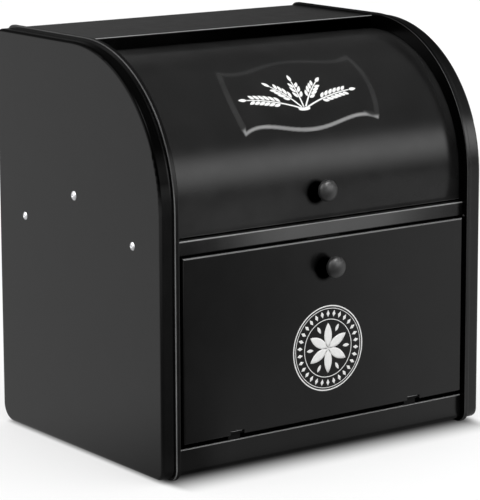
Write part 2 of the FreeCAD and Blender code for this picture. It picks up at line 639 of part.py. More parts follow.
def catch_housing():
    """Block under the shelf rail with a pocket for the magnet."""
    front = DOOR_BACK + CATCH_GAP + MAGNET_PROUD
    body = box(-CATCH_WIDTH / 2, CATCH_WIDTH / 2, front, front + CATCH_DEPTH,
               RAIL_LOW - CATCH_HEIGHT, RAIL_LOW)
    body = body.cut(magnet_shape())
    for x in (-CATCH_RIVET_X, CATCH_RIVET_X):
        body = body.cut(Part.makeCylinder(CATCH_RIVET_RADIUS + FIT_GAP, CATCH_HEIGHT,
                                          Vector(x, catch_rivet_y(), RAIL_LOW - CATCH_HEIGHT)))
    return body


def magnet_shape():
    front = DOOR_BACK + CATCH_GAP
    middle = RAIL_LOW - CATCH_HEIGHT / 2
    return box(-MAGNET_WIDTH / 2, MAGNET_WIDTH / 2, front, front + MAGNET_DEPTH,
               middle - MAGNET_HEIGHT / 2 - 1, middle + MAGNET_HEIGHT / 2 - 1)


def catch_rivets():
    made = []
    for x in (-CATCH_RIVET_X, CATCH_RIVET_X):
        low, high = RAIL_LOW - CATCH_HEIGHT, RAIL_LOW + SHEET
        shank = Part.makeCylinder(CATCH_RIVET_RADIUS, high - low, Vector(x, catch_rivet_y(), low))
        heads = [Part.makeCylinder(2 * CATCH_RIVET_RADIUS, SHEET, Vector(x, catch_rivet_y(), z))
                 for z in (low - SHEET, high)]
        made.append(fused([shank] + heads))
    return Part.makeCompound(made)


def catch_pins():
    """Small round-ended pins in the lips, just above the door's upper corners."""
    y, z = CATCH_PIN_SETBACK, RAIL_LOW + CATCH_PIN_RADIUS / 2
    pin = rod(CATCH_PIN_RADIUS, -INNER_X, -INNER_X + CATCH_PIN_REACH, y, z)
    pin = rounded_face(pin, -INNER_X + CATCH_PIN_REACH, CATCH_PIN_RADIUS * 0.8)
    return Part.makeCompound([pin, mirrored(pin)])


# ---------------------------------------------------------------- build
def build():
    nodes = {
        "left_cheek": cheek(),
        "right_cheek": mirrored(cheek()),
        "body_wrap": body_wrap(),
        "base_rail": base_rail(),
        "shelf": shelf(),
        "shelf_rivets": shelf_rivets(),
        "pivot_rivet_left": pivot_rivet(),
        "pivot_rivet_right": mirrored(pivot_rivet()),
        "pivot_washer_left": pivot_washer(),
        "pivot_washer_right": mirrored(pivot_washer()),
        "catch_housing": catch_housing(),
        "catch_magnet": magnet_shape(),
        "catch_rivets": catch_rivets(),
        "catch_pins": catch_pins(),
        "rail_leaf_left": rail_leaf(),
        "rail_leaf_right": mirrored(rail_leaf()),
        "lid_shell": lid_shell(),
        "lid_arm_left": lid_arm(),
        "lid_arm_right": mirrored(lid_arm()),
        "lid_knob": on_lid(knob()),
        "lid_knob_washer": on_lid(knob_washer(lid_washer_seat())),
        "lid_knob_screw": on_lid(knob_screw(lid_washer_seat())),
        "door_panel": door_panel(),
        "door_leaf_left": door_leaf(),
        "door_leaf_right": mirrored(door_leaf()),
        "hinge_pin_left": hinge_pin(),
        "hinge_pin_right": mirrored(hinge_pin()),
        "door_knob": on_door(knob()),
        "door_knob_washer": on_door(knob_washer(SHEET)),
        "door_knob_screw": on_door(knob_screw(SHEET)),
    }
    os.makedirs("parts", exist_ok=True)
    for node, shape in nodes.items():
        save(node, shape)


build()
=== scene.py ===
# %% [markdown]
# # A bread box of folded steel, dressed piece by piece
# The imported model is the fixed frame: a case with two pressed cheeks, a roll-top lid that
# turns about a line between them, and a fall-front door under the shelf. Its flat and folded
# sheets already have their true shape, so they stay and only get a finish. What is awkward
# as a solid is worked out here as a surface of two parameters: the soft pressing in the lid,
# the prints, the turned knobs and the domed rivets.
#
# Everything is in metres. +Z is up and the front looks along -Y.

# %% The frame and the values shared by the steps
import json
import math

import bpy
import numpy as np
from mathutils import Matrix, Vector


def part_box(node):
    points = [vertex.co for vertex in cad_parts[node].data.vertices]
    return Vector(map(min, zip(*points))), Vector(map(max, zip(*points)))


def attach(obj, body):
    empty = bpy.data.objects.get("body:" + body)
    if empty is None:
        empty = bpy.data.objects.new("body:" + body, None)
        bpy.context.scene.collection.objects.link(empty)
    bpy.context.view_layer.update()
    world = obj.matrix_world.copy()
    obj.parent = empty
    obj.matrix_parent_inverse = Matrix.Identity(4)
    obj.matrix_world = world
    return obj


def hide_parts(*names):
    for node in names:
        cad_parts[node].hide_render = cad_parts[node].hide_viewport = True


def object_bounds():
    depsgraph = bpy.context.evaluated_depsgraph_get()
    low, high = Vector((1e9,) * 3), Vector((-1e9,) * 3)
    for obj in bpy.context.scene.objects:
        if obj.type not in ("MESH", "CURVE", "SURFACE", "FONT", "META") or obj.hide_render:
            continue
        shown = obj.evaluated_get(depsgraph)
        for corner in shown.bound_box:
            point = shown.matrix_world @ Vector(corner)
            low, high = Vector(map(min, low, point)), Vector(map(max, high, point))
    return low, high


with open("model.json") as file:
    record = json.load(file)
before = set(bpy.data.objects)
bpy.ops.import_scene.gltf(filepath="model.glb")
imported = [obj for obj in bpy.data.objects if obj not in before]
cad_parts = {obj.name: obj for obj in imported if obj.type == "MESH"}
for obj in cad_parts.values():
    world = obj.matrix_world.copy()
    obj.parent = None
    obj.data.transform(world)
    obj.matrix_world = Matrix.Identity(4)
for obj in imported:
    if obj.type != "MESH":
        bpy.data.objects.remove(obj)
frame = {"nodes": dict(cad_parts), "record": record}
CAD_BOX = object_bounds()
scene = bpy.context.scene
MM = 0.001
SHEET = 0.8 * MM
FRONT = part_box("left_cheek")[0][1]            # crest of the cheek rims at the front
PIVOT = np.array([0.0, FRONT + 127.7 * MM, 215.8 * MM])
LID_R = 115.2 * MM                            # outer face of the lid from its pivot
KNOB_LEAN = math.asin(4.0 * MM / LID_R)       # the lid's knob sits a little above the pivot
LID_SEAT = PIVOT + LID_R * np.array([0.0, -math.cos(KNOB_LEAN), math.sin(KNOB_LEAN)])
DOOR_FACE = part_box("door_panel")[0][1]
DOOR_SEAT = np.array([0.0, DOOR_FACE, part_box("door_knob")[0][2] + 9.0 * MM])
CHEEK_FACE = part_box("right_cheek")[1][0]      # outer face of a cheek from the middle
RIM_LIP = 155.5 * MM, 154.5 * MM              # where a rim's inner lip begins, likewise
print("CAD box in mm:", [[round(v / MM, 1) for v in corner] for corner in CAD_BOX])

# %% [markdown]
# ## The camera
# A long lens, well to the left of the case and a little above it, keeps the upright edges
# nearly parallel. A camera that only tilts down lets them run together at the foot. So the
# lens is also shifted down by a tenth of the frame, as is done for tall buildings, and the
# camera has to tilt less.

# %% The camera
CAMERA_PLACE = -1.2530, FRONT - 1.6033, 0.5855
CAMERA_AIM = Vector((0.5775, 0.7962, -0.1802))
CAMERA_ROLL = math.radians(-0.197)

camera_data = bpy.data.cameras.new("camera")
camera_data.lens = 182.8
camera_data.sensor_width = 36.0
camera_data.shift_y = -0.10
camera_data.clip_end = 60.0
camera = bpy.data.objects.new("camera", camera_data)
camera.location = CAMERA_PLACE
camera.rotation_euler = CAMERA_AIM.to_track_quat("-Z", "Y").to_euler()
camera.rotation_euler.rotate_axis("Z", CAMERA_ROLL)
scene.collection.objects.link(camera)
scene.camera = camera
print("camera at", [round(v, 3) for v in camera.location])

# %% [markdown]
# ## Meshes from whole arrays
# Every new piece is a numpy grid of points, a shape as a function of two parameters u and v.
# One helper numbers the quads between neighbours of the grid, and wraps round where a
# direction is closed. Another makes the mesh. A third gives it a value per point, which
# travels with the piece and which a finish can read.

# %% Mesh helpers
def poly_mesh(name, verts, faces, material, caps=()):
    """A smooth-shaded mesh object at the origin from vertices, equal faces and end caps."""
    mesh = bpy.data.meshes.new(name)
    mesh.from_pydata(np.asarray(verts).tolist(), [], np.asarray(faces).tolist() + list(caps))
    mesh.polygons.foreach_set("use_smooth", np.ones(len(mesh.polygons), dtype=bool))
    mesh.materials.append(material)
    piece = bpy.data.objects.new(name, mesh)
    scene.collection.objects.link(piece)
    return piece


def carry(piece, name, values):
    """Stores one number per vertex on a piece, as an attribute for its finish."""
    attribute = piece.data.attributes.new(name, "FLOAT", "POINT")
    attribute.data.foreach_set("value", np.asarray(values, dtype=np.float32).ravel())


def grid_quads(nu, nv, closed_u=False, closed_v=False):
    """Quads between the points of a grid of nu by nv, row after row."""
    index = np.arange(nu * nv).reshape(nu, nv)
    if closed_u:
        index = np.concatenate([index, index[:1]], 0)
    if closed_v:
        index = np.concatenate([index, index[:, :1]], 1)
    corners = index[:-1, :-1], index[1:, :-1], index[1:, 1:], index[:-1, 1:]
    return np.stack(corners, -1).reshape(-1, 4)


def smoothstep(t):
    """0 below 0, 1 above 1, and 3t^2 - 2t^3 between them."""
    t = np.clip(t, 0.0, 1.0)
    return t * t * (3.0 - 2.0 * t)


print("mesh helpers ready")

# %% [markdown]
# ## Finishes as node trees
# A finish is more than a colour. Powder coat on steel is nearly black, but what the eye
# reads is its gloss: a broad sheen on the flats, a tighter one where the coat is drawn thin
# over a fold, a fine orange peel, and a faint slow waviness of the sheet itself. Each is a
# small chain of nodes on Object coordinates, so it stays with the piece when it moves.

# %% Nodes in any tree
class Graph:
    """Adds nodes to a tree; a value is a number or another node's output."""

    def __init__(self, tree):
        self.tree = tree

    def node(self, kind, links=(), **values):
        """Adds a node, sets its properties and sockets, and links what feeds it."""
        node = self.tree.nodes.new("ShaderNode" + kind)
        for key, value in values.items():
            if hasattr(node, key):
                setattr(node, key, value)
            else:
                node.inputs[key.replace("_", " ")].default_value = value
        for socket, source in dict(links).items():
            self.tree.links.new(source, node.inputs[socket])
        return node

    def feed(self, socket, value):
        """Links an output to the socket, or sets a number there."""
        if isinstance(value, bpy.types.NodeSocket):
            self.tree.links.new(value, socket)
        else:
            socket.default_value = value

    def math(self, operation, first, second=0.0):
        """One step of arithmetic on one or two values."""
        node = self.node("Math", operation=operation)
        self.feed(node.inputs[0], first)
        self.feed(node.inputs[1], second)
        return node.outputs[0]

    def product(self, first, *others):
        """All the values multiplied."""
        for other in others:
            first = self.math("MULTIPLY", first, other)
        return first

    def less(self, share):
        """1 - share, so that a mask becomes what it leaves."""
        return self.math("SUBTRACT", 1.0, share)

    def ranged(self, value, start, end, low=0.0, high=1.0, kind="LINEAR"):
        """Value from start..end spread over low..high and held there."""
        return self.node("MapRange", {"Value": value}, interpolation_type=kind,
                         From_Min=start, From_Max=end, To_Min=low, To_Max=high).outputs["Result"]

    def smooth(self, value, start, end, low=0.0, high=1.0):
        """The same with a smooth step instead of a straight slope."""
        return self.ranged(value, start, end, low, high, "SMOOTHSTEP")

    def across(self, vector, direction, start, end, low=0.0, high=1.0):
        """Smoothly from low where vector . direction is start to high where it is end."""
        dot = self.node("VectorMath", {0: vector}, operation="DOT_PRODUCT")
        dot.inputs[1].default_value = direction
        return self.smooth(dot.outputs["Value"], start, end, low, high)


def bare_graph(owner):
    """The emptied node tree of a new material or world."""
    owner.use_nodes = True
    owner.node_tree.nodes.clear()
    return Graph(owner.node_tree)


print("helpers for node trees ready")

# %% [markdown]
# ### The start of a finish
# A pattern needs a place on the piece. Unwrapping each mesh would give one, with seams and a
# new scale on every piece. Object coordinates need no unwrapping and keep one scale, so the
# coat has the same grain on a cheek and on a knob.

# %% A material to build on
class Finish(Graph):
    """A material with its Principled shader, whose patterns follow Object coordinates."""

    def __init__(self, name, **fixed):
        self.material = bpy.data.materials.new(name)
        self.material.use_nodes = True
        super().__init__(self.material.node_tree)
        self.shader = self.tree.nodes["Principled BSDF"]
        self.place = self.node("TexCoord")
        for socket, value in fixed.items():
            self.shader.inputs[socket].default_value = value

    def noise(self, scale, detail=2.0, roughness=0.5):
        """Noise with about scale waves to the metre."""
        return self.node("TexNoise", {"Vector": self.place.outputs["Object"]}, Scale=scale,
                         Detail=detail, Roughness=roughness).outputs["Fac"]

    def spread(self, noise, low=0.0, high=1.0):
        """A noise, most of which lies between 0.3 and 0.7, over low..high."""
        return self.ranged(noise, 0.3, 0.7, low, high)

    def parts(self, kind):
        """X, Y and Z of the place ("Object") or of the object-space normal ("Normal")."""
        return self.node("SeparateXYZ", {"Vector": self.place.outputs[kind]}).outputs

    def aside(self, start, end):
        """0 where a point is start away from the middle plane x = 0, 1 where it is end."""
        return self.ranged(self.math("ABSOLUTE", self.parts("Object")["X"]), start, end)

    def carried(self, name):
        """The number that a piece worked out here carries at each point."""
        return self.node("Attribute", attribute_name=name).outputs["Fac"]

    def blend(self, factor, first, second):
        """From one colour to another."""
        node = self.node("Mix", {"Factor": factor}, data_type="RGBA")
        for slot, colour in ((6, first), (7, second)):
            flat = not isinstance(colour, bpy.types.NodeSocket)
            self.feed(node.inputs[slot], (*colour, 1.0) if flat else colour)
        return node.outputs[2]

    def bump(self, height, distance, strength, under=None):
        """The normal tipped by the slope of height x distance, over the normal under it."""
        links = {"Height": height}
        if under is not None:
            links["Normal"] = under
        return self.node("Bump", links, Distance=distance, Strength=strength).outputs["Normal"]

    def set(self, socket, source):
        """Links an output to a socket of the shader."""
        self.tree.links.new(source, self.shader.inputs[socket])


print("helper for finishes ready")

# %% [markdown]
# ### Where the folds are
# A tight fold gets a glossier coat and a paler grey there, which is a painted highlight. The
# flats of the sheets lie square to the axes and the folds don't, so the object-space normal
# tells them apart: the largest of its three parts is 1 on a flat and falls below 1 in a
# bend. On a cheek, whose rim follows a quarter round, the part along X does the same. The
# masks could be painted by hand, but this way they follow the mesh if a size changes.

# %% Masks of the folds
MIDDLE = -10 * MM, 10 * MM                    # from the left cheek's side to the right one's


def fold_by_axes(f):
    """1 in the upper bends of a sheet whose flats are square to the axes, before its back."""
    parts = f.parts("Normal")
    sides = [f.math("ABSOLUTE", part) for part in parts]
    largest = f.math("MAXIMUM", f.math("MAXIMUM", sides[0], sides[1]), sides[2])
    return f.product(f.ranged(largest, 0.995, 0.90), f.ranged(parts["Z"], 0.05, 0.25),
                     f.ranged(f.parts("Object")["Y"], FRONT + 140 * MM, FRONT + 134 * MM))


def fold_of_rim(f):
    """1 on the tight bend of a rim's lip that faces left, weaker on the right cheek."""
    x = f.parts("Normal")["X"]
    return f.product(f.ranged(x, -0.12, -0.40), f.ranged(x, -0.99, -0.90),
                     f.ranged(f.parts("Object")["X"], *MIDDLE, 1.0, 0.15), f.aside(*RIM_LIP))


print("masks of the folds ready")

# %% [markdown]
# ### Where the light is kept off
# Two places get less light than the lamps alone would leave: the foot of a knob, under its
# head, and the rim of a cheek where it turns up and back. Each is a share between 0 and 1
# that darkens the colour and the gloss together. The share of a rim is
#
#     left:  1 - rim (0.2 (1 - lip) + arc (0.72 - 0.12 lip))
#     right: falls to 0.15 where the rim looks up or straight to the left
#
# with rim, lip and arc between 0 and 1.

# %% Shares of light
KNOB_UNDER = np.array([-4.0 * MM, 0.0, -2.0 * MM])   # the shade lies left of and below a knob


def knob_shade(f):
    """0 round the foot of a knob, where its head keeps the light off, and 1 away from it."""
    near = 1.0
    for seat in (LID_SEAT, DOOR_SEAT):
        place = f.node("VectorMath", {0: f.place.outputs["Object"]}, operation="DISTANCE")
        place.inputs[1].default_value = seat + KNOB_UNDER
        near = f.math("MINIMUM", near, f.smooth(place.outputs["Value"], 8 * MM, 12 * MM))
    return near


def rim_light(f):
    """The share of light on a cheek: its rims are dimmed where they turn up and back."""
    normal = f.parts("Normal")
    lip = f.aside(*RIM_LIP)
    rim = f.ranged(normal["X"], -0.995, -0.95)
    arc = f.ranged(normal["Z"], 0.03, 0.20)
    dim = f.math("ADD", f.product(0.20, f.less(lip)),
                 f.product(arc, f.ranged(lip, 0.0, 1.0, 0.72, 0.60)))
    left = f.less(f.product(rim, dim))
    bend = f.product(f.ranged(normal["X"], -0.05, -0.20, 0.0, 0.9),
                     f.ranged(normal["Z"], 0.28, 0.42))
    right = f.product(f.ranged(normal["Z"], 0.35, 0.80, 1.0, 0.15),
                      f.ranged(normal["X"], -0.95, -0.99, 1.0, 0.15), f.less(bend))
    share = f.ranged(f.parts("Object")["X"], *MIDDLE)
    return f.math("ADD", f.product(share, right), f.product(f.less(share), left))


print("shares of light ready")

# %% [markdown]
# ### A bow in the rail
# A folded rail is never quite flat: its middle tips up a little and catches more of the light
# above. The slope is too slight to be seen in its outline, so a bump is enough. Its height is
# -0.23 times the distance above the rail's middle line, times a mask that is 1 in the middle
# of the rail's length and falls to its ends.

# %% The bow
RAIL_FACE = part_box("shelf")[0][1]
RAIL_MIDDLE = (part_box("shelf")[1][2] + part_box("door_panel")[1][2]) / 2


def rail_bow(f):
    """Height in metres of a bow that tips the middle of the shelf's rail a little upward."""
    parts = f.parts("Object")
    up = f.math("SUBTRACT", parts["Z"], RAIL_MIDDLE)
    return f.product(up, -0.23, f.smooth(parts["X"], -160 * MM, -30 * MM, 0.27, 1.0),
                     f.smooth(parts["X"], 150 * MM, 40 * MM, 0.50, 1.0),
                     f.ranged(f.math("ABSOLUTE", up), 8 * MM, 7.5 * MM),
                     f.ranged(parts["Y"], RAIL_FACE + 1.0 * MM, RAIL_FACE + 0.5 * MM))


print("rail from", round(RAIL_FACE - FRONT, 4), "m behind the front, middle line at",
      round(RAIL_MIDDLE, 4), "m")

# %% [markdown]
# ### The coats
# Powder is sprayed on dry and melts to a skin that is never quite smooth. Two noises, one
# slow and one fine, give its waviness and its orange peel. A third one lets the roughness
# wander. The steel, the plastic and the ferrite of the small parts get a scuffed or grainy
# colour in the same way.

# %% Coat, steel and plastic
def powder_coat(name, gloss_and_painted_sheen=None, flat=0.22, tight=0.16, peel=0.25, wave=0.08, tone=0.003,
                painted_highlight=0.22, sheen=0.5, bow=None, lit=None):
    """Black powder coat.

    Its roughness is flat on the panels and tight on the folds. Its grey is tone, and on the
    folds a paler grey, painted_highlight, is painted as a highlight. The depths of the orange
    peel and of the slow wave are peel and wave, and sheen is its specular level.
    gloss_and_painted_sheen, bow and lit add a mask of the folds and the painted highlight, a
    height and a share of light that paints shade, from a function of the finish.
    """
    f = Finish(name, **{"IOR": 1.5, "Specular IOR Level": sheen})
    tint = f.spread(f.noise(38.0, 4.0))
    colour = f.blend(tint, (tone * 0.8,) * 3, (tone * 1.25,) * 3)
    gloss = f.spread(f.noise(70.0, 5.0, 0.6), flat - 0.02, flat + 0.03)
    if gloss_and_painted_sheen is not None:
        bend = gloss_and_painted_sheen(f)
        # the folds get a paler grey, a painted highlight
        colour = f.blend(f.product(bend, f.ranged(tint, 0.0, 1.0, 0.7, 1.0)),
                         colour, (painted_highlight,) * 3)
        gloss = f.math("SUBTRACT", gloss, f.product(bend, flat - tight))
    if lit is not None:
        open_part = lit(f)
        colour = f.blend(open_part, (0.0, 0.0, 0.0), colour)
        f.set("Specular IOR Level", f.product(open_part, sheen))
    f.set("Base Color", colour)
    f.set("Roughness", gloss)
    slow = f.bump(f.noise(26.0, 1.0), 0.0004, wave)
    if bow is not None:
        slow = f.bump(bow(f), 1.0, 1.0, slow)
    f.set("Normal", f.bump(f.noise(1400.0, 2.0), 0.00003, peel, slow))
    return f.material


def plated_steel(name, tone=0.72, rough=0.30, outside=None):
    """Bright zinc plate with fine scuffs, dark where |x| is less than outside, if given."""
    f = Finish(name, Metallic=1.0)
    scuffs = f.noise(900.0, 4.0, 0.65)
    colour = f.blend(f.spread(scuffs),
                     (tone * 0.82, tone * 0.82, tone * 0.84),
                     (tone * 1.08, tone * 1.08, tone * 1.10))
    if outside is not None:
        colour = f.blend(f.aside(outside - 0.1 * MM, outside), (0.03,) * 3, colour)
    f.set("Base Color", colour)
    f.set("Roughness", f.spread(f.noise(420.0, 3.0), rough - 0.06, rough + 0.08))
    f.set("Normal", f.bump(scuffs, 0.00002, 0.35))
    return f.material


def moulded(name, tone, rough, grain=900.0, metal=0.0):
    """Dull moulded plastic or ferrite with a fine grain."""
    f = Finish(name, Metallic=metal, IOR=1.46)
    spots = f.noise(grain, 4.0, 0.6)
    f.set("Base Color", f.blend(f.spread(spots), (tone * 0.8,) * 3, (tone * 1.2,) * 3))
    f.set("Roughness", f.spread(f.noise(grain / 3, 3.0), rough - 0.06, rough + 0.06))
    f.set("Normal", f.bump(spots, 0.00004, 0.4))
    return f.material


print("coats ready")

# %% [markdown]
# One coat was sprayed on everything. The table gives it its gloss, a highlight painted on
# the folds and, through a share of light, painted shade. The lid's mask of folds and painted
# highlight and the knobs' heads come with their own meshes.

# %% The table of finishes
FINISHES = {
    # the paler grey on the folds is a painted highlight, and lit paints shade
    "cheek_coat": powder_coat("cheek_coat", fold_of_rim, tight=0.24, lit=rim_light),
    "case_coat": powder_coat("case_coat", fold_by_axes, painted_highlight=0.34, bow=rail_bow),
    "door_coat": powder_coat("door_coat", fold_by_axes, lit=knob_shade),
    "hinge_coat": powder_coat("hinge_coat", fold_by_axes, painted_highlight=0.95, tone=0.004, sheen=0.12),
    "lid_coat": powder_coat("lid_coat", lambda f: f.carried("gloss_and_painted_sheen"), tone=0.007, painted_highlight=0.34,
                            sheen=0.36, lit=knob_shade),
    "knob_coat": powder_coat("knob_coat", flat=0.42, peel=0.15, tone=0.016, sheen=1.0,
                             lit=lambda f: f.carried("head")),
    "rivet_steel": plated_steel("rivet_steel", 0.92, 0.40, outside=CHEEK_FACE - SHEET),
    "steel_fixings": plated_steel("steel_fixings", 0.60, 0.34),
    "pin_steel": plated_steel("pin_steel", 0.58, 0.30),
    "pivot_washer": moulded("pivot_washer", 0.03, 0.50),
    "catch_plastic": moulded("catch_plastic", 0.004, 0.70),
    "magnet": moulded("magnet", 0.05, 0.55, grain=600.0, metal=0.6),
}
print(len(FINISHES), "finishes made")

# %% [markdown]
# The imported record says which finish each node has. A node keeps its mesh, and only its
# material slots change.

# %% Dress the nodes
for part in frame["record"]["subparts"]:
    for slot in frame["nodes"][part["node"]].material_slots:
        slot.material = FINISHES[part["material_slot"]]
print(len(frame["nodes"]), "nodes dressed")

# %% [markdown]
# ## The lid
# The lid is one sheet bent round the pivot, with a short fold along its lower and upper
# edge, and a label-shaped plaque pressed outwards from behind. A curved plate with a bump map
# would only pretend to have the pressing. Here the sheet is a real surface of two
# parameters: x runs along the lid, and v runs round the section of the sheet, out over its
# outer face and back over its inner one.
#
# The section starts as a middle line with rounded bends. Half the sheet's thickness to
# each side gives the two faces, the way sheet metal is drawn in a workshop. The points lie
# close together where the plaque will be.

# %% The section of the lid's sheet
LID_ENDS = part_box("lid_shell")[1][0]
LOW_ARC = LID_R * math.asin((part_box("lid_shell")[0][2] - PIVOT[2]) / LID_R)
HIGH_ARC = LID_R * math.radians(98.0)
PLAQUE_ARC = LID_R * math.radians(45.0)
GRID_STEP = 0.85                                 # between the points on the plaque, mm
LOW_FOLD, HIGH_FOLD = 7.0 * MM, 5.0 * MM


def turn_corner(centre, radius, start, end, steps):
    """An arc of a circle in (s, r), from angle start to end."""
    angle = np.radians(np.linspace(start, end, steps))
    return centre + radius * np.stack([np.cos(angle), np.sin(angle)], 1)


def sheet_section():
    """Middle line of the sheet as (arc length s, radius r), and its normals to the outside."""
    half, bend = SHEET / 2, 0.9 * MM
    low, high = LOW_ARC + half, HIGH_ARC - half
    skin = LID_R - half
    fine = np.arange(PLAQUE_ARC - 41 * MM, PLAQUE_ARC + 41 * MM, GRID_STEP * MM)
    below = np.linspace(low + bend, fine[0], 18, endpoint=False)[1:]
    above = np.linspace(fine[-1], high - bend, 26)[1:-1]
    run = np.concatenate([below, fine, above])
    foot = np.linspace(LID_R - LOW_FOLD, skin - bend, 4, endpoint=False)
    head = np.linspace(skin - bend, LID_R - HIGH_FOLD, 5)[1:]
    line = np.concatenate([
        np.stack([np.full(4, low), foot], 1),
        turn_corner(np.array([low + bend, skin - bend]), bend, 180, 90, 7),
        np.stack([run, np.full(len(run), skin)], 1),
        turn_corner(np.array([high - bend, skin - bend]), bend, 90, 0, 7),
        np.stack([np.full(4, high), head], 1),
    ])
    along = np.gradient(line, axis=0)
    along /= np.linalg.norm(along, axis=1, keepdims=True)
    return line, np.stack([-along[:, 1], along[:, 0]], 1)


section, outward = sheet_section()
print("lid section:", len(section), "points, from", round(math.degrees(LOW_ARC / LID_R), 2),
      "to", round(math.degrees(HIGH_ARC / LID_R), 2), "degrees")

# %% [markdown]
# ### The pressed plaque
# Its outline is a wavy label with drawn-out corners. With t from -1 at the left to 1 at the
# right, the height of a long side over the middle is
#
#     w(t) = h + 3 - 25.8 t^2 + 22.8 t^4
#
# plus a small slope above, and both short sides bow out by a parabola. The whole label sits
# a little off the middle and leans. A die presses the sheet up inside the outline with a soft
# shoulder: the lift is a smooth step of the distance to the outline. The distance is found
# edge by edge for the whole grid at once.

# %% The lift of the plaque over the sheet
PLAQUE_RAISE = 1.0 * MM
SHOULDER = 3.4 * MM
PLAQUE_LONG, PLAQUE_HIGH = 68.5, 32.0            # half sizes to its corners, mm
PLAQUE_BOW = 5.0                                 # of its ends, mm
PLAQUE_SHIFT = 4.5, -0.6                         # of its middle along x and s, mm
PLAQUE_LEAN, PLAQUE_TILT = 0.04, 0.014           # x per s and s per x


def smooth_loop(points, steps):
    """A closed Catmull-Rom curve through points[n, 2]."""
    before, after, beyond = (np.roll(points, k, 0)[:, None] for k in (1, -1, -2))
    here = points[:, None]
    t = np.linspace(0, 1, steps, endpoint=False)[None, :, None]
    curve = 0.5 * (2 * here + (after - before) * t
                   + (2 * before - 5 * here + 4 * after - beyond) * t ** 2
                   + (3 * here - before - 3 * after + beyond) * t ** 3)
    return curve.reshape(-1, 2)


def plaque_outline():
    """(x, s) of the outline from its middle: a wave above and below, and bowed ends."""
    t = np.linspace(-1, 1, 61)
    wave = PLAQUE_HIGH + 3.0 - 25.8 * t ** 2 + 22.8 * t ** 4
    upper, lower = wave + 2.0 * t, wave + 1.5
    down = np.linspace(1, -1, 31)[1:-1]
    end = PLAQUE_LONG + PLAQUE_BOW * (1 - down ** 2)
    right = end, upper[-1] * (1 + down) / 2 - lower[0] * (1 - down) / 2
    left = -end, upper[0] * (1 - down) / 2 - lower[-1] * (1 + down) / 2
    sides = [(PLAQUE_LONG * t, upper), right, (-PLAQUE_LONG * t, -lower), left]
    outline = np.concatenate([np.stack(side, 1) for side in sides])
    outline[:, 1] += PLAQUE_TILT * outline[:, 0] + PLAQUE_SHIFT[1]
    outline[:, 0] += PLAQUE_SHIFT[0] + PLAQUE_LEAN * outline[:, 1]
    return outline * MM


def inside_distance(points, outline):
    """Distance of points[n, 2] to a closed outline, positive inside and negative outside."""
    nearest = np.full(len(points), np.inf)
    inside = np.zeros(len(points), dtype=bool)
    for start, end in zip(outline, np.roll(outline, -1, 0)):
        edge, away = end - start, points - start
        along = np.clip(away @ edge / (edge @ edge), 0, 1)
        nearest = np.minimum(nearest, np.linalg.norm(away - along[:, None] * edge, axis=1))
        if start[1] != end[1]:
            level = (start[1] > points[:, 1]) != (end[1] > points[:, 1])
            cross = start[0] + (points[:, 1] - start[1]) * edge[0] / edge[1]
            inside ^= level & (points[:, 0] < cross)
    return np.where(inside, nearest, -nearest)


OUTLINE = plaque_outline()


def lip(x, s):
    """1 along the plaque's lower edge, whose shoulder is the tightest, and 0 elsewhere."""
    end = smoothstep((np.abs(x) - 55 * MM) / (13 * MM))
    return smoothstep((PLAQUE_ARC - s - (23.5 + 6.0 * end) * MM) / (3 * MM))


def rise(x, s):
    """Position on the shoulder at x and arc length s: 0 on the sheet, 1 on the plaque."""
    shape = np.broadcast(x, s).shape
    near = np.stack([np.broadcast_to(x, shape).ravel(),
                     np.broadcast_to(s, shape).ravel() - PLAQUE_ARC], 1)
    depth = inside_distance(near, OUTLINE).reshape(shape)
    return np.clip(depth / (SHOULDER * (2.0 - lip(x, s))) + 0.35, 0, 1)


def lift(x, s):
    """How far the pressing raises the sheet at x and arc length s, less towards its ends."""
    end = smoothstep((np.abs(x - 3 * MM) - 40 * MM) / (32 * MM))
    return PLAQUE_RAISE * smoothstep(rise(x, s)) * (1 - 0.65 * end)


print("plaque outline:", len(OUTLINE), "points,",
      [round(v / MM, 1) for v in OUTLINE.max(0) - OUTLINE.min(0)], "mm")

# %% [markdown]
# ### Sheet and section together
# A point of the lid is given by x, by the arc length s and by the radius r: it lies at
# angle s / R round the pivot. Outer and inner face share the same lift, so the sheet keeps
# its thickness through the pressing. Two rows of quads close the sheet at its ends. The same
# x and s tell where a paler grey is painted as a highlight: on the plaque's shoulder, most
# along its lower edge, on the bends of the section, and as a sheen near the lid's borders.

# %% The lid's sheet
def on_lid(x, s, r):
    """Points at x, arc length s and radius r round the pivot; s = 0 is straight ahead."""
    x, s, r = np.broadcast_arrays(x, s, r)
    angle = s / LID_R
    return np.stack([x, PIVOT[1] - r * np.cos(angle), PIVOT[2] + r * np.sin(angle)], -1)


def painted_border_sheen(x, s):
    """Grey painted as a sheen near the lid's borders: its ends, its foot and its top."""
    upper = smoothstep((s / LID_R - 0.20) / 0.25)
    ends = (0.035 + 0.085 * upper) * smoothstep((np.abs(x) - LID_ENDS + 26 * MM) / (22 * MM))
    low = 0.02 + 0.05 * smoothstep((60 * MM - x) / (160 * MM))
    tone = np.maximum(ends, low * smoothstep((LOW_ARC + 44 * MM - s) / (30 * MM)))
    tone = tone + 0.04 * smoothstep((LOW_ARC + 6 * MM - s) / (3.5 * MM))
    high = 0.035 + 0.04 * smoothstep((-70 * MM - x) / (80 * MM))
    return np.maximum(tone, high * smoothstep((s / LID_R - 1.10) / 0.30))


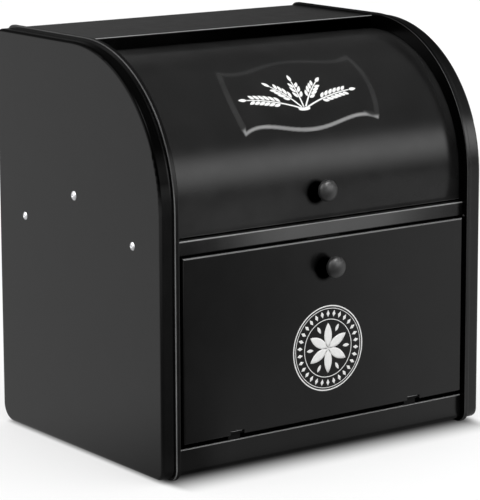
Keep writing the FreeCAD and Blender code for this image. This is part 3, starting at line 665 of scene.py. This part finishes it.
def lid_sheet(material):
    """The whole sheet, with a mask attribute: 1 where it is glossiest and its painted highlight
    palest.
    """
    fine = np.arange(-84, 84.01, GRID_STEP) * MM
    side = np.linspace(fine[-1], LID_ENDS, 26)[1:]
    x = np.concatenate([-side[::-1], fine, side])[:, None]
    slanted = 1 - np.abs(outward).max(1)[None, :]
    faces, folds = [], []
    for sign in (1, -1):
        s, r = (section + sign * SHEET / 2 * outward).T[:, None, :]
        skin = smoothstep((r - LID_R + 3 * MM) / (1.5 * MM))
        faces.append(on_lid(x, s, r + lift(x, s) * skin))
        t = rise(x, s)
        # a paler grey painted as a highlight on the plaque's shoulder, most on its lower edge,
        # and as a sheen near the lid's borders and on the section's bends
        shoulder = 4 * t * (1 - t) * skin * (0.06 + 0.94 * lip(x, s))
        painted_highlight = np.maximum(shoulder, painted_border_sheen(x, s) * skin)
        folds.append(np.clip(painted_highlight + 0.4 * slanted / 0.12, 0, 1))
    points = np.concatenate([faces[0], faces[1][:, ::-1]], 1)
    gloss_and_painted_sheen = np.concatenate([folds[0], folds[1][:, ::-1]], 1)
    nu, nv = points.shape[:2]
    quads = grid_quads(nu, nv, closed_v=True)
    half = np.arange(nv // 2 - 1)
    cap = np.stack([half, half + 1, nv - 2 - half, nv - 1 - half], 1)
    quads = np.concatenate([quads, cap, cap[:, ::-1] + (nu - 1) * nv])
    piece = poly_mesh("lid_sheet", points.reshape(-1, 3), quads, material)
    carry(piece, "gloss_and_painted_sheen", gloss_and_painted_sheen)
    return piece


lid = lid_sheet(FINISHES["lid_coat"])
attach(lid, "lid")
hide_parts("lid_shell")
print("lid sheet:", len(lid.data.polygons), "quads")

# %% [markdown]
# ## Prints
# Both prints are one layer of white enamel, a twentieth of a millimetre proud. They could be
# drawn into the coat's colour, but thin raised shapes of their own keep crisp edges at any
# distance and catch the light on their rims.

# %% The enamel
PROUD = 0.05 * MM                                # a print over its sheet, and below it


def enamel(name):
    """White enamel with a faint speckle."""
    f = Finish(name, Roughness=0.42, IOR=1.48)
    speckle = f.noise(1100.0, 3.0, 0.6)
    f.set("Base Color", f.blend(f.spread(speckle), (0.93, 0.93, 0.92), (0.98, 0.98, 0.97)))
    f.set("Normal", f.bump(speckle, 0.00002, 0.25))
    return f.material


WHITE_PRINT = enamel("white_print")
print("enamel ready, standing", PROUD / MM, "mm over the coat")

# %% [markdown]
# ### Flat shapes
# A print is a set of flat leaves and bands. A leaf is a closed outline, filled by two smaller
# rings and one cap. A band lies between two outlines. All are joined into one flat shape,
# which is then laid on its sheet and made as thick as the film.

# %% Leaves and bands
def filled(outline, centre):
    """An outline[n, 2] and two rings towards its centre: verts, quads and the inner cap."""
    scale = np.array([1.0, 0.66, 0.33])[:, None, None]
    rings = centre + (outline - centre)[None] * scale
    count = len(outline)
    inner = range(3 * count - 1, 2 * count - 1, -1)
    return rings.reshape(-1, 2), grid_quads(3, count, closed_v=True), [list(inner)]


def band(inner, outer):
    """A closed strip between two outlines of the same number of points."""
    middle = (inner + outer) / 2
    return np.concatenate([outer, middle, inner]), grid_quads(3, len(outer), closed_v=True), []


def petal(length, width, tip=1.0, steps=12):
    """A pointed leaf along +y from the origin: half width w/2 sin(pi t^tip)^0.8 at t of it."""
    t = np.linspace(0, 1, steps)
    half = width / 2 * np.sin(np.pi * t ** tip) ** 0.8
    side = np.stack([half, length * t], 1)
    return np.concatenate([side, (side * (-1, 1))[-2:0:-1]])


def turned(points, angle):
    """Points turned clockwise by an angle in degrees, so that 0 keeps +y upright."""
    a = math.radians(angle)
    return points @ np.array([[math.cos(a), -math.sin(a)], [math.sin(a), math.cos(a)]])


def gather(parts):
    """Joins (verts, quads, caps) of many parts into one."""
    verts, quads, caps, start = [], [], [], 0
    for points, faces, ends in parts:
        verts.append(points)
        quads.append(faces + start)
        caps += [[k + start for k in end] for end in ends]
        start += len(points)
    return np.concatenate(verts), np.concatenate(quads), caps


def printed(name, flat, placed, body):
    """Lays a flat shape (verts, quads, caps) on its sheet and gives it a film's thickness."""
    points, quads, caps = flat
    piece = poly_mesh(name, placed(points), quads, WHITE_PRINT, caps)
    film = piece.modifiers.new("film", "SOLIDIFY")
    film.thickness = 2 * PROUD
    film.offset = -1.0
    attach(piece, body)
    return piece


print("print helpers ready")

# %% [markdown]
# ### Wheat on the lid
# Five ears of wheat fan out from a small tie, the outer two lying almost flat, so that the
# spray fills the plaque. An ear is a curved stem with pairs of grains and one at the tip. The
# stem's heading turns evenly along its length, so its path is the running sum of the sines
# and cosines of that heading.

# %% Wheat on the lid
EARS = (                                         # lean, length, curl, pairs of grains
    (0, 21, 0, 3), (34, 25, 16, 4), (-34, 25, -16, 4), (66, 39, 18, 6), (-66, 39, -18, 6))
TIE = (-4.2, -1.2), (0, -1.9), (4.2, -1.2), (4.2, 1.0), (0, 0.4), (-4.2, 1.0)


def ear(lean, length, curl, grains):
    """Stem and grains of one ear, in mm: leans by an angle and curls on along its length."""
    steps = 24
    t = np.linspace(0, 1, steps)
    heading = np.radians(lean + curl * t)
    path = np.stack([np.cumsum(np.sin(heading)), np.cumsum(np.cos(heading))], 1)
    path *= length / (steps - 1)
    side = np.stack([np.cos(heading), -np.sin(heading)], 1)
    thick = (0.42 + 0.18 * (1 - t))[:, None]
    stem = np.concatenate([path + side * thick, path - side * thick])
    parts = [(stem, grid_quads(2, steps)[:, ::-1], [])]
    for k in range(grains):
        at = 0.36 + 0.58 * k / grains
        here = np.array([np.interp(at, t, path[:, i]) for i in (0, 1)])
        aim = lean + curl * at
        size = 6.0 - 1.5 * abs(k / (grains - 1) - 0.35)
        for turn in (-1, 1):
            leaf = turned(petal(size, 2.3, 0.9), aim + turn * 30) + here
            leaf += turned(np.array([[turn * 0.95, 0.0]]), aim)
            parts.append(filled(leaf, leaf.mean(0)))
    tip = turned(petal(6.2, 2.5, 0.9), lean + curl) + path[-1]
    parts.append(filled(tip, tip.mean(0)))
    return parts


def wheat_spray():
    """All the ears, each set a little aside at its foot, and the tie round them."""
    spray = []
    for lean, length, curl, grains in EARS:
        for points, quads, caps in ear(lean, length, curl, grains):
            spray.append((points + (lean * 0.03, 0.0), quads, caps))
    tie = smooth_loop(np.array(TIE), 6)[::-1]
    spray.append(filled(tie, tie.mean(0)))
    return gather(spray)


def laid_on_lid(points):
    """Flat (x, up) in mm to the face of the plaque, spread to fill it."""
    x = points[:, 0] * 1.28 * MM
    s = PLAQUE_ARC + (points[:, 1] - 14.5) * 1.22 * MM
    return on_lid(x, s, LID_R + lift(x, s) + PROUD)


wheat = printed("wheat_print", wheat_spray(), laid_on_lid, "lid")
print("wheat print:", len(wheat.data.polygons), "quads")

# %% [markdown]
# ### A rosette on the door
# A round medallion: three rings, a circle of small diamonds and a six-petalled rosette, the
# figure that a pair of compasses draws, with a small leaf between each two petals.

# %% A rosette on the door
MEDALLION_Z = 88.5 * MM
RINGS = (34.0, 1.0), (31.8, 0.5), (23.2, 0.6)    # outer radius and width, mm
DIAMOND = (0, 30.2), (1.5, 27.5), (0, 24.8), (-1.5, 27.5)


def circle(radius, steps=120):
    """An outline of even steps, clockwise from the top."""
    angle = np.linspace(0, 2 * np.pi, steps, endpoint=False)
    return radius * np.stack([np.sin(angle), np.cos(angle)], 1)


def medallion():
    """Rings, thirty diamonds and six petals, with six small leaves between them."""
    parts = [band(circle(outer - width), circle(outer)) for outer, width in RINGS]
    for k in range(30):
        diamond = turned(np.array(DIAMOND), 12 * k)
        parts.append(filled(diamond, diamond.mean(0)))
    for k in range(6):
        leaf = turned(petal(20.0, 7.4), 60 * k)
        parts.append(filled(leaf, leaf.mean(0)))
        small = turned(petal(6.4, 2.6) + (0, 14.4), 60 * k + 30)
        parts.append(filled(small, small.mean(0)))
    return gather(parts)


def laid_on_door(points):
    """Flat (x, up) in mm to the door's face, a little enlarged."""
    x, z = 1.06 * points[:, 0] * MM, 1.06 * points[:, 1] * MM + MEDALLION_Z
    return np.stack([x, np.full(len(x), DOOR_FACE - PROUD), z], -1)


rosette = printed("rosette_print", medallion(), laid_on_door, "door")
print("rosette print:", len(rosette.data.polygons), "quads")

# %% [markdown]
# ## The knobs
# Each knob is turned metal: a small foot, a waisted neck, an undercut and a domed head with a
# tight rim. Its surface is a profile (radius, height) carried round an axis:
#
#     point = seat + height axis + radius (cos(a) side + sin(a) up)
#
# A Screw modifier could turn the profile too, but an array also tells how far up each point
# lies. The profile is made of arcs and a few points between them, and is dense where it turns
# quickly.

# %% The profile and the lathe
def knob_profile():
    """(radius, height) in mm from the foot's rim to the crown, clockwise."""
    arcs = [
        np.array([[5.6, -0.3]]),
        turn_corner(np.array([5.2, 0.7]), 0.4, 0, 80, 5),
        np.array([[4.75, 1.35], [4.35, 2.1], [4.2, 3.1], [4.2, 4.4], [4.45, 5.6],
                  [5.1, 6.6], [6.2, 7.4], [7.4, 7.95]]),
        turn_corner(np.array([7.9, 9.2]), 1.1, -88, 0, 8),
        np.array([[9.0, 10.2]]),
    ]
    t = np.linspace(0, 1, 26)[1:-1] * math.pi / 2
    dome = np.stack([9.0 * np.cos(t), 10.7 + 5.3 * np.sin(t)], 1)
    return np.concatenate(arcs + [dome, [[0.05, 16.0]]])


def lathe(profile, seat, axis, sides=96):
    """Carries (radius, height) rows round an axis: verts, quads, and the two end caps."""
    axis = Vector(axis).normalized()
    side = axis.orthogonal().normalized()
    up = axis.cross(side)
    angle = np.linspace(0, 2 * np.pi, sides, endpoint=False)[:, None, None]
    radius, height = profile[None, :, :1], profile[None, :, 1:]
    points = (np.array(seat) + height * np.array(axis)
              + radius * np.cos(angle) * np.array(side) + radius * np.sin(angle) * np.array(up))
    rows = len(profile)
    ring = np.arange(sides) * rows
    caps = [ring[::-1].tolist(), (ring + rows - 1).tolist()]
    return points.reshape(-1, 3), grid_quads(sides, rows, closed_u=True), caps


KNOB_PROFILE = knob_profile() * MM
print("knob profile:", len(KNOB_PROFILE), "points,",
      round(2 * KNOB_PROFILE[:, 0].max() / MM, 1), "mm across")

# %% [markdown]
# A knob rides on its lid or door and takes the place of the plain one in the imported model.
# Its neck stays in the shade of its head, so the mesh carries a head attribute: 0 on the neck
# and 1 on the head, by a smooth step of the height.

# %% The knobs
def lathed(name, turnings, finish, body, node):
    """One piece from several turnings, in place of a CAD node."""
    verts, quads, caps = gather(turnings)
    piece = poly_mesh(name, verts, quads, FINISHES[finish], caps)
    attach(piece, body)
    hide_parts(node)
    return piece


def knob(name, seat, axis, body, node):
    """A turned knob on its seat, with a head attribute from its height along the axis."""
    piece = lathed(name, [lathe(KNOB_PROFILE, seat, axis)], "knob_coat", body, node)
    place = np.array([v.co for v in piece.data.vertices])
    height = (place - seat) @ np.array(axis) / MM
    carry(piece, "head", smoothstep((height - 7.2) / 1.2))
    return piece


lid_axis = (0.0, -math.cos(KNOB_LEAN), math.sin(KNOB_LEAN))
knobs = [knob("lid_knob_turned", LID_SEAT, lid_axis, "lid", "lid_knob"),
         knob("door_knob_turned", DOOR_SEAT, (0.0, -1.0, 0.0), "door", "door_knob")]
print("knobs:", [k.name for k in knobs], "seats", np.round(LID_SEAT, 4), np.round(DOOR_SEAT, 4))

# %% [markdown]
# ## The rivets
# Bright domed heads with a small dimple where the punch stood, a shank through the sheets
# and a flat closing head inside, which the finish leaves dark. Half a ball on the sheet would
# look the same from outside, but the tails show when the lid stands open. The head is a cap
# of a ball of radius (r^2 + h^2) / 2h. The boxes of the CAD rivets give their places.

# %% The rivets
def rivet_profile(radius, height, shank, grip, tail_radius, tail_height):
    """(radius, height) in mm from the dimple out over the head and in to the flat tail."""
    ball = (radius ** 2 + height ** 2) / (2 * height)
    r = np.linspace(1.35, radius, 14)
    dome = np.stack([r, np.sqrt(ball ** 2 - r ** 2) - ball + height], 1)
    dimple = [[0.05, 0.62 * height], [0.45, 0.64 * height], [0.85, 0.78 * height],
              [1.1, 0.9 * height]]
    end = -grip - tail_height
    inside = [[shank, 0.0], [shank, -grip], [tail_radius, -grip],
              [tail_radius, end + 0.4 * tail_height], [0.93 * tail_radius, end],
              [0.05, end]]
    return np.concatenate([dimple, dome, inside])[::-1]


def pivot_rivet(side):
    """The rivet that carries a lid arm; its closing head is as wide as the washer."""
    low, high = (np.array(corner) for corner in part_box("pivot_rivet_" + side))
    out = -1 if side == "left" else 1
    seat = (low + high) / 2
    seat[0] = out * CHEEK_FACE
    inner = min(abs(low[0]), abs(high[0]))
    tail = 0.8
    profile = rivet_profile(radius=4.0, height=1.8, shank=2.5, tail_radius=7.95,
                            tail_height=tail, grip=(CHEEK_FACE - inner) / MM - tail)
    return lathed("pivot_rivet_turned_" + side, [lathe(profile * MM, seat, (out, 0, 0), 64)],
                  "rivet_steel", "case", "pivot_rivet_" + side)


def shelf_rivets():
    """Two rivets through each cheek into the shelf's end flanges."""
    low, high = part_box("shelf_rivets")
    head = 3.5
    profile = rivet_profile(radius=head, height=1.4, shank=2.0, grip=2 * SHEET / MM,
                            tail_radius=2.6, tail_height=1.0)
    seats = [(out * CHEEK_FACE, y, (low.z + high.z) / 2)
             for out in (-1, 1) for y in (low.y + head * MM, high.y - head * MM)]
    turnings = [lathe(profile * MM, seat, (seat[0], 0, 0), 64) for seat in seats]
    return lathed("shelf_rivets_turned", turnings, "rivet_steel", "case", "shelf_rivets")


print("rivets:", [r.name for r in (pivot_rivet("left"), pivot_rivet("right"), shelf_rivets())])

# %% [markdown]
# ## Floor and room
# To the eye the room is white, and so is the floor, which also keeps the shadow of the box.
# In the gloss of the coat they show as a studio with pale and dark walls. Real walls would
# also throw light of their own on the paper, so the room is a formula: a lobe of light is a
# smooth step of the cosine between a ray and the lobe's aim.

# %% The room
ROOM_BASE = 0.07
ROOM_LOBES = (                                    # aim, cosine at rim and core, strength
    ((-0.80, 0.55, 0.25), 0.55, 0.95, 0.44),      # pale wall behind on the left
    ((0.45, -0.35, 0.85), 0.50, 0.95, 0.20),      # soft light from above, right and front
    ((1.00, 0.05, 0.12), 0.80, 0.99, 0.35),       # wall on the right
    ((0.10, 1.00, 0.15), 0.80, 0.99, 0.10),       # wall behind
    ((0.12, -0.50, 0.86), 0.965, 0.990, 9.0),     # small lamp above in front
    ((-0.20, -0.60, 0.77), 0.82, 0.98, 0.7),      # soft light round it, to the left
    ((-0.80, 0.25, 0.55), 0.80, 0.97, 3.0),       # window high on the left
)


def studio_room():
    """White to the eye, an even level for plain colours, and lobes of light in the gloss."""
    scene.world = bpy.data.worlds.new("room")
    g = bare_graph(scene.world)
    direction = g.node("TexCoord").outputs["Generated"]
    level = ROOM_BASE
    for aim, start, end, strength in ROOM_LOBES:
        lobe = g.across(direction, Vector(aim).normalized(), start, end, 0.0, strength)
        level = g.math("ADD", lobe, level)
    rays = g.node("LightPath").outputs
    even = g.node("Background", Color=(1, 1, 1, 1), Strength=1.0).outputs[0]
    gloss = g.node("Background", {"Strength": level}, Color=(1, 1, 1, 1)).outputs[0]
    seen = g.node("MixShader", {0: rays["Is Glossy Ray"], 1: even, 2: gloss}).outputs[0]
    g.node("OutputWorld", {"Surface": seen})


studio_room()
print("room with", len(ROOM_LOBES), "lobes of light")

# %% [markdown]
# ### The floor
# The paper darkens right under the box, where no light gets in. The even light of the room
# would leave that shade too pale, so it is drawn into the paper: the share of light is a
# smooth step of the distance to a rectangle under the box, and grows faster at the sides and
# the back than in front.
#
# In the gloss the floor is pale behind and at the sides and dark close in front, with one
# pale patch further out in front that the base rail shows.

# %% The floor
FLOOR_REACH = 30.0                                # to each side, so that no edge shows
SHADE_REACH = 0.055                               # of the contact shade, in front
SHADE_EDGE = CHEEK_FACE - 12 * MM
SHADE_FRONT = FRONT + 22 * MM
SHADE_BACK = CAD_BOX[1][1] - 12 * MM
FLOOR_DARK = 0.07
FLOOR_ASIDE = 0.7963, 0.5775, 0.0                 # along the floor, to the right and back
FLOOR_BACK = 0.0, 1.0, 0.0


def contact_shade(g, place):
    """0 under the box and 1 where the floor lies open."""
    parts = g.node("SeparateXYZ", {0: place}).outputs
    off = [g.product(g.math("MAXIMUM", g.math("SUBTRACT", first, second), 0.0), pull)
           for first, second, pull in ((-SHADE_EDGE, parts["X"], 4.0),
                                       (parts["X"], SHADE_EDGE, 3.0),
                                       (SHADE_FRONT, parts["Y"], 1.0),
                                       (parts["Y"], SHADE_BACK, 4.0))]
    off = g.node("CombineXYZ", {"X": g.math("ADD", off[0], off[1]), "Y": off[2], "Z": off[3]})
    far = g.node("VectorMath", {0: off.outputs[0]}, operation="LENGTH").outputs["Value"]
    return g.smooth(far, 0.0, SHADE_REACH)


def floor_in_gloss(g, place):
    """The level of the floor as the coat reflects it."""
    level = g.math("MAXIMUM", g.across(place, FLOOR_ASIDE, -0.24, 0.10, FLOOR_DARK, 0.60),
                   g.across(place, FLOOR_BACK, -0.25, 0.15, FLOOR_DARK, 0.60))
    level = g.math("MAXIMUM", level, g.across(place, FLOOR_ASIDE, -0.60, -1.20,
                                              FLOOR_DARK, 0.66))
    patch = g.product(g.across(place, FLOOR_BACK, -0.50, -0.40, 0.0, 0.36),
                      g.across(place, FLOOR_ASIDE, -0.185, -0.140))
    return g.math("MAXIMUM", level, patch)


def studio_floor():
    """White paper, lit and glowing to the eye, and a level of its own in the gloss."""
    r = FLOOR_REACH
    material = bpy.data.materials.new("floor")
    g = bare_graph(material)
    place = g.node("TexCoord").outputs["Object"]
    rays = g.node("LightPath").outputs
    open_to_light = contact_shade(g, place)
    white = g.product(open_to_light, 0.45)
    colour = g.node("CombineXYZ", {"X": white, "Y": white, "Z": white}).outputs[0]
    paper = g.node("BsdfDiffuse", {"Color": colour}).outputs[0]
    glow = g.product(rays["Is Camera Ray"], 0.55, open_to_light)
    glow = g.node("Emission", {"Strength": glow}).outputs[0]
    bright = g.node("AddShader", {0: paper, 1: glow}).outputs[0]
    level = g.product(floor_in_gloss(g, place), open_to_light)
    gloss = g.node("Emission", {"Strength": level}).outputs[0]
    seen = g.node("MixShader", {0: rays["Is Glossy Ray"], 1: bright, 2: gloss}).outputs[0]
    g.node("OutputMaterial", {"Surface": seen})
    floor = poly_mesh("floor", [(-r, -r, 0), (r, -r, 0), (r, r, 0), (-r, r, 0)],
                      [(0, 1, 2, 3)], material)


studio_floor()
print("floor ready, its contact shade reaches", SHADE_REACH / MM, "mm")

# %% [markdown]
# ## Lights
# A large screen to the right of the front draws the broad sheen along the lid. It is a plane
# whose glow fades from its middle line to its edges, because a lamp of even strength would
# show hard borders in the gloss. A lamp overhead lights colours at a plain level and is not
# seen in the gloss.

# %% Lights
SCREEN_AIM = Vector((0.68, -1.0, math.tan(math.radians(19.0))))   # from the lid to the screen
SCREEN_AWAY = 2.5


def glow_screen(width, height, strength):
    """A wide upright plane before the case; its glow falls from the middle to the edges."""
    w, h = width / 2, height / 2
    material = bpy.data.materials.new("glow_screen")
    g = bare_graph(material)
    parts = g.node("SeparateXYZ", {0: g.node("TexCoord").outputs["Object"]}).outputs
    across = g.smooth(g.math("ABSOLUTE", parts["X"]), w, w - 0.4)
    upright = g.smooth(g.math("ABSOLUTE", parts["Z"]), h, 0.0)
    glow = g.node("Emission", {"Strength": g.product(across, upright, strength)})
    g.node("OutputMaterial", {"Surface": glow.outputs[0]})
    screen = poly_mesh("glow_screen", [(-w, 0, -h), (w, 0, -h), (w, 0, h), (-w, 0, h)],
                       [(3, 2, 1, 0)], material)
    screen.location = Vector((0.0, FRONT, 0.25)) + SCREEN_AWAY * SCREEN_AIM
    screen.visible_camera = False


def area(name, place, aim, wide, high, power):
    """A soft box lamp at a place, turned to its aim."""
    data = bpy.data.lights.new(name, "AREA")
    data.shape = "RECTANGLE"
    data.size, data.size_y, data.energy = wide, high, power
    lamp = bpy.data.objects.new(name, data)
    lamp.location = place
    lamp.rotation_euler = (Vector(aim) - Vector(place)).to_track_quat("-Z", "Y").to_euler()
    scene.collection.objects.link(lamp)
    return lamp


glow_screen(3.6, 2.2, 3.0)
overhead = area("overhead", (0.1, -0.4, 2.6), (0, 0, 0), 2.4, 2.0, 14.0)
overhead.visible_glossy = False
scene.view_settings.view_transform = "Standard"
